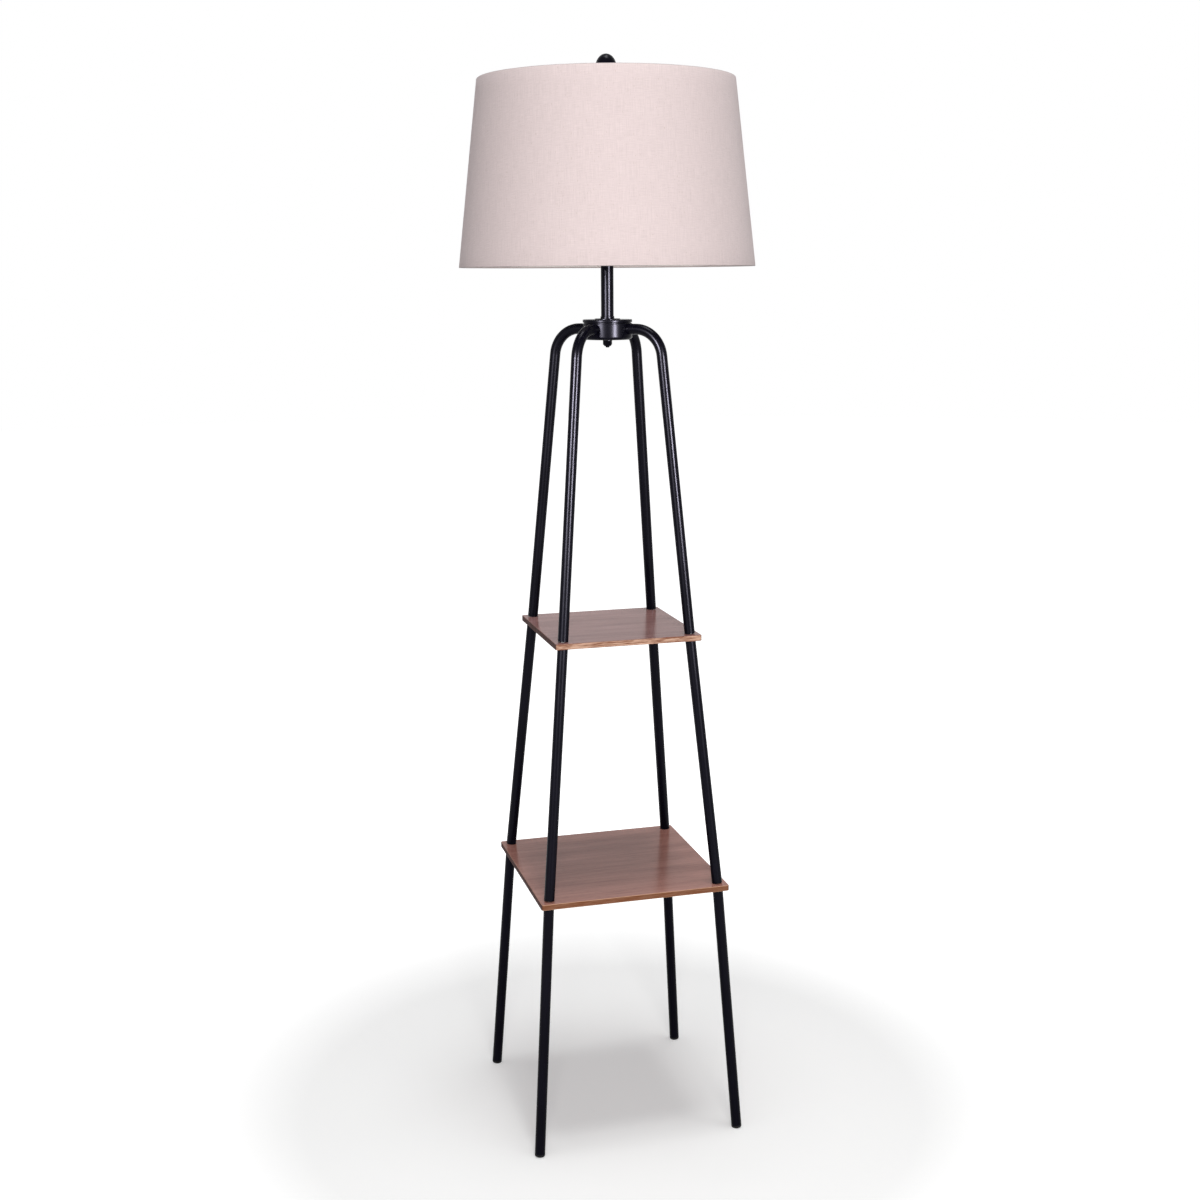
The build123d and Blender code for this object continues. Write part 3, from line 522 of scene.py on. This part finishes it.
def ring_radius(part, height):
    """The outer radius of a turned CAD part at one of its end heights."""
    at_height = [v.co for v in part.data.vertices if abs(v.co.z - height) < height_tolerance]
    return max(hypot(point.x, point.y) for point in at_height)


hem_height, rim_height = shade_box[0][2], shade_box[1][2]
hem_radius = ring_radius(parts["shade_shell"], hem_height)
rim_radius = ring_radius(parts["shade_shell"], rim_height)
lean = (hem_radius - rim_radius) / (rim_height - hem_height)
hem_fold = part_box("shade_bottom_hem")[1][2] - hem_height
print("shade: radius", round(hem_radius, 4), "to", round(rim_radius, 4), "lean", round(lean, 4))


def on_cone(height, inset):
    """A ring at a height on the cone, drawn in from its outside."""
    return hem_radius - lean * (height - hem_height) - inset, height


# %% Linen cover
cloth_thickness = 0.0005
rim_thickness = 0.00185
wall_rows = 12
roll_steps = 8
roll = rim_thickness / 2


def rolled_rim(upward, inset):
    """Half a circle of rings over a rim, from one side of the wall to the other."""
    middle = rim_height - roll if upward > 0 else hem_height + roll
    reach = roll - inset
    steps = [pi * i / roll_steps for i in range(roll_steps + 1)]
    return [on_cone(middle + upward * reach * sin(a), roll - reach * cos(a)) for a in steps]


def wall(low, high, inset, rows):
    """Rings up the cone's wall, without its two ends."""
    return [on_cone(low + (high - low) * i / rows, inset) for i in range(1, rows)]


def fold_end(height):
    """The cut edge of a fold, from its front to the side that faces the lining."""
    return [on_cone(height, rim_thickness), on_cone(height, rim_thickness - cloth_thickness)]


outside_wall = wall(hem_height + roll, rim_height - roll, 0, wall_rows)
inside_wall = wall(hem_height + roll, rim_height - roll, cloth_thickness, wall_rows)
cover_rings = (outside_wall + rolled_rim(1, 0) + fold_end(rim_height - hem_fold)
               + rolled_rim(1, cloth_thickness)[::-1] + inside_wall[::-1]
               + rolled_rim(-1, cloth_thickness) + fold_end(hem_height + hem_fold)[::-1]
               + rolled_rim(-1, 0)[::-1])
linen_cover = turn_piece("linen_cover", cover_rings)
linen_cover.data.materials.append(linen)
print("linen cover:", len(cover_rings), "rings,", len(linen_cover.data.polygons), "faces")

# %% [markdown]
# A cone unrolls to a flat sector. Each corner of each face gets the place that it had on that
# flat piece of cloth: its angle round the shade, shrunk by the cone's slope, and its distance from
# the cone's tip. The cut's two ends meet at the back.

# %% Lay the cloth flat for its pattern
slope = lean / hypot(lean, 1)


def lay_flat(piece):
    """A UV map in metres of the cloth as it was cut, centred on the shade's front."""
    layer = piece.data.uv_layers.new(name="cut")
    for face in piece.data.polygons:
        middle = atan2(face.center.x, -face.center.y)
        for corner in face.loop_indices:
            point = piece.data.vertices[piece.data.loops[corner].vertex_index].co
            turn = atan2(point.x, -point.y)
            if abs(turn - middle) > pi:
                turn += 2 * pi if middle > 0 else -2 * pi
            reach = hypot(point.x, point.y) / slope
            layer.data[corner].uv = (reach * sin(turn * slope), -reach * cos(turn * slope))


lay_flat(linen_cover)
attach(linen_cover, "shade")
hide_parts("shade_shell", "shade_top_hem", "shade_bottom_hem")

# %% [markdown]
# Where the cut's two ends meet, at the back, one lies over the other in a straight lap. It is a
# copy of the cover's own faces there, so it follows the cone exactly, and Solidify gives it the
# thickness of the cloth.

# %% Lap at the back
lap_half_angle = radians(2.5)
facing_back = 0.9

bpy.ops.object.select_all(action="DESELECT")
linen_cover.select_set(True)
bpy.context.view_layer.objects.active = linen_cover
bpy.ops.object.duplicate()
linen_lap = bpy.context.object
linen_lap.name = "linen_lap"
bpy.ops.object.mode_set(mode="EDIT")
bpy.ops.mesh.select_mode(type="FACE")
bpy.ops.mesh.select_all(action="DESELECT")
bpy.ops.object.mode_set(mode="OBJECT")
for face in linen_lap.data.polygons:
    behind = abs(atan2(face.center.x, face.center.y)) < lap_half_angle
    inside_cloth = on_cone(face.center.z, cloth_thickness / 2)[0]
    outer = face.normal.y > facing_back and hypot(*face.center.xy) > inside_cloth
    face.select = not (behind and outer)
bpy.ops.object.mode_set(mode="EDIT")
bpy.ops.mesh.delete(type="FACE")
bpy.ops.object.mode_set(mode="OBJECT")
thick = linen_lap.modifiers.new("cloth", "SOLIDIFY")
thick.thickness, thick.offset = cloth_thickness, 1
bpy.ops.object.modifier_apply(modifier=thick.name)
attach(linen_lap, "shade")
print("lap:", len(linen_lap.data.polygons), "faces")

# %% [markdown]
# Seen from behind, the shade would be in its own shadow. A weaker box lights its cloth from the
# back, and light linking keeps it off all the rest, so the front stays as it is.

# %% Keep the back fill to the cloth
cloth_only = bpy.data.collections.new("cloth_only")
for piece in (linen_cover, linen_lap):
    cloth_only.objects.link(piece)
back_fill.light_linking.receiver_collection = cloth_only

# %% [markdown]


# %% [markdown]
# Inside the cloth is the stiff white sheet that gives the shade its shape. It fills the space
# between the two folds, so it is turned in the same way, just behind the cloth.

# %% White lining
lining_gap = 0.00002
lining_front = cloth_thickness + lining_gap
lining_back = rim_thickness - cloth_thickness - lining_gap
lining_rings = [on_cone(hem_height + roll, lining_front), on_cone(rim_height - roll, lining_front),
                on_cone(rim_height - roll, lining_back), on_cone(hem_height + roll, lining_back)]
white_lining = turn_piece("white_lining", lining_rings)
white_lining.data.materials.append(shade_lining)
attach(white_lining, "shade")

# %% [markdown]
# ## Threads
# Two threads can be seen: the rolled one on the bulb's cap, and the cut one on the tip of the tie
# rod under the nut. A thread is one tooth carried up a helix, which is just what the Screw
# modifier does. The tooth is half of a small circle, and the bar that it winds on is a turned
# piece closed at both ends.

# %% A turned bar and a thread
def turn_bar(name, rings, sides=64):
    """A closed turned bar from (radius, height) rings, with a flat at each end."""
    bar = turn_piece(name, rings, sides, closed=False)
    bpy.ops.object.mode_set(mode="EDIT")
    bpy.ops.mesh.select_mode(type="EDGE")
    bpy.ops.mesh.select_all(action="DESELECT")
    bpy.ops.mesh.select_non_manifold()
    bpy.ops.mesh.edge_face_add()
    bpy.ops.mesh.select_all(action="SELECT")
    bpy.ops.mesh.normals_make_consistent(inside=False)
    bpy.ops.object.mode_set(mode="OBJECT")
    return bar


def wind_thread(name, root_radius, depth, pitch, foot, turns, sides=48):
    """One rounded tooth wound up a helix about the Z axis, from a foot height."""
    tooth_width = 0.98 * pitch
    bpy.ops.object.select_all(action="DESELECT")
    bpy.ops.mesh.primitive_circle_add(vertices=16, radius=tooth_width / 2, rotation=(pi / 2, 0, 0))
    tooth = bpy.context.object
    tooth.name = name
    bpy.ops.object.transform_apply(location=False, rotation=True, scale=False)
    bpy.ops.object.mode_set(mode="EDIT")
    bpy.ops.mesh.select_mode(type="VERT")
    bpy.ops.mesh.select_all(action="DESELECT")
    bpy.ops.object.mode_set(mode="OBJECT")
    for vertex in tooth.data.vertices:
        vertex.select = vertex.co.x < -tooth_width / 100
    bpy.ops.object.mode_set(mode="EDIT")
    bpy.ops.mesh.delete(type="VERT")
    bpy.ops.mesh.select_all(action="SELECT")
    bpy.ops.transform.resize(value=(2 * depth / tooth_width, 1, 1), center_override=(0, 0, 0))
    bpy.ops.transform.translate(value=(root_radius, 0, foot))
    bpy.ops.mesh.edge_face_add()
    bpy.ops.object.mode_set(mode="OBJECT")
    helix = tooth.modifiers.new("helix", "SCREW")
    helix.screw_offset, helix.iterations = pitch, turns
    helix.steps = helix.render_steps = sides
    helix.use_merge_vertices, helix.merge_threshold = True, pitch / 1000
    bpy.ops.object.modifier_apply(modifier=helix.name)
    bpy.ops.object.mode_set(mode="EDIT")
    bpy.ops.mesh.select_mode(type="EDGE")
    bpy.ops.mesh.select_all(action="DESELECT")
    bpy.ops.mesh.select_non_manifold()
    bpy.ops.mesh.edge_face_add()
    bpy.ops.mesh.select_all(action="SELECT")
    bpy.ops.mesh.normals_make_consistent(inside=False)
    bpy.ops.object.mode_set(mode="OBJECT")
    bpy.ops.object.shade_smooth_by_angle(angle=smooth_below)
    return tooth


def join_pieces(first, *others):
    """The first piece with the others joined into it."""
    bpy.ops.object.select_all(action="DESELECT")
    for piece in (*others, first):
        piece.select_set(True)
    bpy.context.view_layer.objects.active = first
    bpy.ops.object.join()
    return first


# %% Tie rod with its thread
rod_low, rod_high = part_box("hub_tie_rod")
rod_radius = rod_high[0]
rod_pitch, rod_tooth, thread_turns = 0.00127, 0.0004, 12
rod_chamfer = 0.0009

rod_root = rod_radius - rod_tooth
thread_end = rod_low[2] + rod_pitch * (thread_turns + 1)
tie_rod = turn_bar("tie_rod", [(rod_radius - rod_chamfer, rod_low[2]),
                               (rod_root, rod_low[2] + rod_chamfer), (rod_root, thread_end),
                               (rod_radius, rod_low[2] + rod_pitch * (thread_turns + 2)),
                               (rod_radius, rod_high[2])])
tie_rod_thread = wind_thread("tie_rod_thread", rod_root, rod_tooth, rod_pitch,
                             rod_low[2] + rod_pitch, thread_turns)
tie_rod = join_pieces(tie_rod, tie_rod_thread)
tie_rod.data.materials.append(black_metal)
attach(tie_rod, "frame")
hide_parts("hub_tie_rod")
print("tie rod:", len(tie_rod.data.polygons), "faces")

# %% [markdown]
# The bulb's cap is thin metal rolled into a coarse round thread, with a plain collar at the glass.
# At its foot a cone of black glass carries the small round contact.

# %% Bulb cap
cap_low, cap_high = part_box("bulb_base")
cap_radius, cap_foot, cap_top = cap_high[0], cap_low[2], cap_high[2]
cap_pitch, cap_tooth, cap_turns = 0.00363, 0.0008, 4
contact_radius, contact_tip, contact_round, contact_height = 0.0045, 0.7, 0.0006, 0.002
glass_ledge, glass_rise, glass_height = 0.002, 0.0004, 0.0055
shell_turn_in, shell_rise = 0.0025, 0.001
collar_inset, collar_height, collar_slope = 0.0003, 0.002, 0.0006

cap_root, collar_radius = cap_radius - cap_tooth, cap_radius - collar_inset
glass_low, glass_high = cap_foot + contact_height, cap_foot + glass_height
bulb_cap = turn_bar("bulb_cap", [(contact_radius * contact_tip, cap_foot),
                                 (contact_radius, cap_foot + contact_round),
                                 (contact_radius, glass_low),
                                 (contact_radius + glass_ledge, glass_low + glass_rise),
                                 (cap_radius - shell_turn_in, glass_high),
                                 (cap_root, glass_high + shell_rise),
                                 (cap_root, cap_top - collar_height - collar_slope),
                                 (collar_radius, cap_top - collar_height),
                                 (collar_radius, cap_top)])
cap_thread = wind_thread("cap_thread", cap_root, cap_tooth, cap_pitch,
                         glass_high + cap_pitch / 2, cap_turns)
bulb_cap = join_pieces(bulb_cap, cap_thread)
bulb_cap.data.materials.append(bulb_metal)
bulb_cap.data.materials.append(black_plastic)
for face in bulb_cap.data.polygons:
    if glass_low < face.center.z < glass_high:
        face.material_index = 1
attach(bulb_cap, "bulb")
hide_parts("bulb_base")
print("bulb cap:", len(bulb_cap.data.polygons), "faces")
